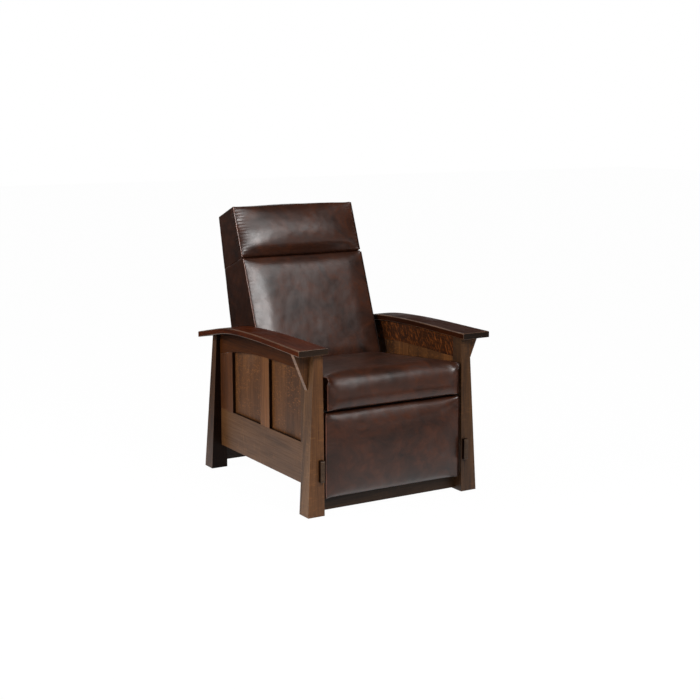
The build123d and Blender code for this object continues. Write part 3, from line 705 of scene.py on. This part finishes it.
def holdFront(u, v, w):
    # blocks whose front is the soft side; the cover is fast along the seams and at the frame behind
    if v == 1.0 or seamSides(u, v, w):
        return 1.0
    if abs(u) < 1.0 and abs(w) < 1.0:
        return 0.0
    least, rise = coverLook["sidesHeld"] if abs(u) == 1.0 else coverLook["endsHeld"]
    return min(1.0, least + rise * (v + 1.0))


def coverBlock(look, place, hold, isSeam):
    # the start shape, with what is held for each vertex, and the vertices on a seam
    bm = gridBlock(look["cuts"])
    crease = bm.edges.layers.float.new("crease_edge")
    bm.verts.index_update()
    marks = [tuple(v.co) for v in bm.verts]
    for edge in bm.edges:
        if all(isSeam(*marks[v.index]) for v in edge.verts):
            edge[crease] = coverLook["crease"]
    held = [hold(*mark) for mark in marks]
    seam = [index for index, mark in enumerate(marks) if isSeam(*mark)]
    for vertex, mark in zip(bm.verts, marks):
        vertex.co = place(*mark)
    return bm, held, seam


def inflate(piece, held, cap):
    # blow the cover up with cloth, and let no point move further than the cap
    look = coverLook
    scene = bpy.context.scene
    group = piece.vertex_groups.new(name="held")
    for index, weight in enumerate(held):
        if weight > 0.0:
            group.add([index], weight, "REPLACE")
    start = [v.co.copy() for v in piece.data.vertices]
    cloth = piece.modifiers.new("cloth", "CLOTH")
    cloth.settings.vertex_group_mass = "held"
    cloth.settings.use_pressure = True
    cloth.settings.uniform_pressure_force = look["pressure"]
    cloth.settings.tension_stiffness = look["stiffness"]
    cloth.settings.compression_stiffness = look["stiffness"]
    cloth.settings.bending_stiffness = look["bending"]
    cloth.settings.effector_weights.gravity = 0.0
    cloth.settings.quality = look["quality"]
    cloth.collision_settings.use_collision = False
    cloth.point_cache.frame_start = 1
    cloth.point_cache.frame_end = look["frames"]
    for number in range(1, look["frames"] + 1):
        scene.frame_set(number)
    blown = piece.evaluated_get(bpy.context.evaluated_depsgraph_get())
    ends = [v.co.copy() for v in blown.data.vertices]
    piece.modifiers.remove(cloth)
    scene.frame_set(1)
    furthest = max((last - first).length for first, last in zip(start, ends))
    print(piece.name, "blown up by at most", round(1000.0 * furthest, 1), "mm")
    for vertex, first, last in zip(piece.data.vertices, start, ends):
        move = last - first
        if move.length > look["still"]:
            vertex.co = first + move.normalized() * cap * tanh(move.length / cap)


def evenOut(piece, held):
    # smooth what the simulation leaves uneven, with the seams kept where they are
    look = coverLook
    bm = bmesh.new()
    bm.from_mesh(piece.data)
    free = [vertex for vertex, weight in zip(bm.verts, held) if weight < look["looserThan"]]
    for _ in range(look["passes"]):
        bmesh.ops.smooth_vert(bm, verts=free, factor=look["factor"],
                              use_axis_x=True, use_axis_y=True, use_axis_z=True)
    bm.to_mesh(piece.data)
    bm.free()


def applyModifiers(piece):
    depsgraph = bpy.context.evaluated_depsgraph_get()
    mesh = bpy.data.meshes.new_from_object(piece.evaluated_get(depsgraph))
    piece.modifiers.clear()
    piece.data = mesh


def gathers(piece, seamPoints, size, step, seed):
    # the cover dips into its seams and gathers beside them, with slow unevenness elsewhere
    look = gatherLook
    tree = kdtree.KDTree(len(seamPoints))
    for index, point in enumerate(seamPoints):
        tree.insert(point, index)
    tree.balance()
    lengthOf = [point.y + point.z + look["sidesApart"] * (point.x > 0.0) for point in seamPoints]
    wave, waveMarks = look["wave"]
    ripple, rippleMarks = look["ripple"]
    normals = [v.normal.copy() for v in piece.data.vertices]
    for vertex, normal in zip(piece.data.vertices, normals):
        co = vertex.co
        _, index, gap = tree.find(co)
        shift = wave * field.noise(co * waveMarks + Vector((seed, 0.0, 0.0)))
        shift += ripple * field.noise(co * rippleMarks + Vector((0.0, seed, 0.0)))
        if gap < look["reach"] * look["within"]:
            along = lengthOf[index]
            swing = look["swing"] * field.noise(Vector((along * look["swingMarks"], seed, 0.0)))
            strength = max(look["weakest"], look["strength"] + swing)
            stray = look["stray"] * field.noise(Vector((along * look["strayMarks"], 0.0, seed)))
            turn = along / step * 2.0 * pi + stray
            fade = exp(-gap / look["reach"]) * (1.0 - exp(-(gap / look["begin"]) ** 2))
            shift += size * strength * fade * sin(turn)
            shift -= look["dip"] * exp(-(gap / look["dipWidth"]) ** 2)
        vertex.co = co + normal * shift


def upholster(name, look, place, hold, isSeam, body, replaced, seed,
              turned=None, sides=None):
    bm, held, seam = coverBlock(look, place, hold, isSeam)
    piece = newPiece(name, bm, hide)
    inflate(piece, held, look["cap"])
    evenOut(piece, held)
    piece.vertex_groups.clear()
    seamPoints = [piece.data.vertices[index].co.copy() for index in seam]
    finer = piece.modifiers.new("finer", "SUBSURF")
    finer.levels = 1
    finer.render_levels = 1
    applyModifiers(piece)
    gathers(piece, seamPoints, look["gather"], look["gatherStep"], seed)
    if sides:
        piece.data.materials.append(sides)
    for face in piece.data.polygons:
        face.use_smooth = True
        # the sideways faces take the darker leather: painted shade
        sideways = abs(face.normal.x) > coverLook["sideFacing"]
        face.material_index = int(bool(sides) and sideways)
    if turned:
        piece.data.transform(turned)
    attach(piece, body)
    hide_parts(*replaced)
    print(name, "upholstered,", len(piece.data.polygons), "faces")


upholster("seatUpholstery", seatBlock, seatPlace, holdSeat, seamSeat, "seat",
          ["seat_cushion"], seed=2.3)
upholster("backUpholstery", backBlock, backPlace, holdFront, seamSides, "back",
          ["back_cushion", "back_panel", "back_side_covers"], seed=5.1, turned=leaning,
          sides=hidePaintedShade)
upholster("headUpholstery", headBlock, headPlace, holdFront, seamSides, "back",
          ["head_cushion"], seed=8.9, turned=leaning, sides=hidePaintedShade)
upholster("footrestUpholstery", padBlock, padPlace, holdFront, seamSides, "footrest",
          ["footrest_pad"], seed=11.4)


# Welts in the seams, and a dark cloth behind that paints in the shade under the seat

weltLook = {
    "radius": 0.0021, "steps": 22, "leastStep": 0.001, "out": 0.0010,
    "roundness": 2, "fineness": 3, "order": 4,
    # stretches of seam from one v and w to another, that stop just short of the block's ends
    "upright": [((-1.0, 0.96), (-1.0, -0.96))],
    "overSeat": [((0.94, 1.0), (-1.0, 1.0)), ((-1.0, 1.0), (-1.0, -0.96))],
}


def seamRun(side, place, stretches):
    points = []
    for (v0, w0), (v1, w1) in stretches:
        for n in range(weltLook["steps"] + 1):
            share = n / weltLook["steps"]
            point = place(side, between(v0, v1, share), between(w0, w1, share))
            if not points or (point - points[-1]).length > weltLook["leastStep"]:
                points.append(point)
    return points


def sewWelt(name, points, side, body, turned=None):
    # the left-hand welts take a painted highlight where the side light falls, and the right-hand
    # ones painted shade
    look = weltLook
    curve = bpy.data.curves.new(name, "CURVE")
    curve.dimensions = "3D"
    curve.bevel_depth = look["radius"]
    curve.bevel_resolution = look["roundness"]
    curve.resolution_u = look["fineness"]
    curve.use_fill_caps = True
    spline = curve.splines.new("NURBS")
    spline.points.add(len(points) - 1)
    for knot, point in zip(spline.points, points):
        moved = point + Vector((side * look["out"], 0.0, 0.0))
        knot.co = (*(turned @ moved if turned else moved), 1.0)
    spline.order_u = look["order"]
    spline.use_endpoint_u = True
    curve.materials.append(hidePaintedHighlight if side < 0.0 else hidePaintedShade)
    piece = bpy.data.objects.new(name, curve)
    bpy.context.collection.objects.link(piece)
    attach(piece, body)


for sideName, side in (("right", 1.0), ("left", -1.0)):
    for kind, place, stretches, body, turned in (
            ("seatWelt_", seatPlace, weltLook["overSeat"], "seat", None),
            ("backWelt_", backPlace, weltLook["upright"], "back", leaning),
            ("headWelt_", headPlace, weltLook["upright"], "back", leaning),
            ("footrestWelt_", padPlace, weltLook["upright"], "footrest", None)):
        sewWelt(kind + sideName, seamRun(side, place, stretches), side, body, turned)
print("welts sewn")


shadowClothLook = {
    "sideGap": 0.001, "frontGap": 0.0022, "rearGap": 0.0002,
    "overlap": 0.020, "top": 0.330,
}


def hangShadowCloth():
    # painted shade: a black sheet between the rear posts, on the front of the low rail, that closes
    # the view under the seat
    look = shadowClothLook
    low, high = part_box("base_rear_rail")
    corners = ((low.x + look["sideGap"], low.y - look["frontGap"], high.z - look["overlap"]),
               (high.x - look["sideGap"], low.y - look["rearGap"], look["top"]))
    bm = bmesh.new()
    bmesh.ops.create_cube(bm, size=1.0)
    for vertex in bm.verts:
        vertex.co = [(a + b) / 2.0 + c * (b - a) for a, b, c in zip(*corners, vertex.co)]
    piece = newPiece("rearShadowCloth", bm, webbing)
    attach(piece, "base")


hangShadowCloth()
print("rear cloth hung")


# Floor, light and camera

studio = {
    "floorSize": 40.0,
    "floorColour": (0.82, 0.82, 0.82), "floorRoughness": 0.9,
    # how far the floor is shown as plain white, so that a faint shadow stays
    "floorGlow": 0.985,
    # reflections show the floor as bright up to the first distance, and dim from the second
    "glowFades": (0.8, 2.1), "farGlow": 0.04,
    "ambient": 0.20,
    # reflections show the surround as white up to the first height, and dim from the second
    "paleToDim": (0.09, 0.15), "dim": 0.03,
    "cameraPlace": (-2.7030, -4.5860, 1.4882),
    "cameraAim": (0.0501, -0.0434, 0.5209),
    "lens": 69.61, "sensor": 36.0,
    # place, size, power
    "lamps": (
        ((0.15, -2.9, 2.6), 1.2, 105.0),
        ((1.2, -2.2, 3.6), 1.6, 44.0),
        ((-3.1, 0.3, 2.1), 1.4, 120.0),
        ((0.6, 2.4, 2.6), 1.4, 14.0),
    ),
    "lampAim": (0.0, 0.0, 0.55),
}


def rayKinds(tree):
    # what the camera sees, and what is seen in a gloss or through a glass
    path = addNode(tree, "LightPath").outputs
    mirrored = combine(tree, "MAXIMUM", path["Is Glossy Ray"], path["Is Transmission Ray"])
    return path["Is Camera Ray"], mirrored


def buildFloor():
    material, tree, shader = newMaterial("paleFloor")
    setSockets(shader, {"Base Color": (*studio["floorColour"], 1.0),
                        "Roughness": studio["floorRoughness"], "Specular IOR Level": 0.0})
    glow = addNode(tree, "Emission", values={"Color": (1.0, 1.0, 1.0, 1.0)})
    coords = addNode(tree, "TexCoord")
    away = addNode(tree, "VectorMath", {0: coords.outputs["Object"]}, operation="LENGTH")
    fade = span(tree, away.outputs["Value"], studio["glowFades"], (1.0, studio["farGlow"]))
    seen, mirrored = rayKinds(tree)
    plug(tree, glow, {"Strength": combine(tree, "MAXIMUM", seen, fade)})
    shown = addNode(tree, "Math", {0: seen}, {1: studio["floorGlow"]}, operation="MULTIPLY")
    share = combine(tree, "MAXIMUM", shown.outputs[0], mirrored)
    mixed = addNode(tree, "MixShader", {0: share, 1: shader.outputs[0], 2: glow.outputs[0]})
    output = next(node for node in tree.nodes if node.type == "OUTPUT_MATERIAL")
    plug(tree, output, {"Surface": mixed.outputs[0]})
    bm = bmesh.new()
    bmesh.ops.create_grid(bm, x_segments=1, y_segments=1, size=studio["floorSize"] / 2)
    floor = newPiece("floor", bm, material)


def buildWorld():
    world = bpy.data.worlds.new("surround")
    bpy.context.scene.world = world
    world.use_nodes = True
    tree = world.node_tree
    background = next(node for node in tree.nodes if node.type == "BACKGROUND")
    coords = addNode(tree, "TexCoord")
    height = addNode(tree, "SeparateXYZ", {0: coords.outputs["Generated"]})
    shade = span(tree, height.outputs["Z"], studio["paleToDim"], (1.0, studio["dim"]))
    seen, mirrored = rayKinds(tree)
    colour = mixColours(tree, mirrored, [studio["ambient"]] * 3, shade)
    plug(tree, background, {"Color": mixColours(tree, seen, colour, (1.0, 1.0, 1.0))})


def aimed(name, data, place, aim):
    holder = bpy.data.objects.new(name, data)
    holder.location = place
    holder.rotation_euler = (Vector(aim) - Vector(place)).to_track_quat("-Z", "Y").to_euler()
    bpy.context.collection.objects.link(holder)
    return holder


def buildLamps():
    for n, (place, size, power) in enumerate(studio["lamps"]):
        lamp = bpy.data.lights.new("softbox" + str(n), "AREA")
        lamp.shape = "SQUARE"
        lamp.size = size
        lamp.energy = power
        aimed(lamp.name, lamp, place, studio["lampAim"])


def buildCamera():
    camera = bpy.data.cameras.new("camera")
    camera.lens = studio["lens"]
    camera.sensor_width = studio["sensor"]
    bpy.context.scene.camera = aimed("camera", camera, studio["cameraPlace"], studio["cameraAim"])


buildFloor()
buildWorld()
buildLamps()
buildCamera()
bpy.context.scene.view_settings.view_transform = "Standard"
print("studio ready")
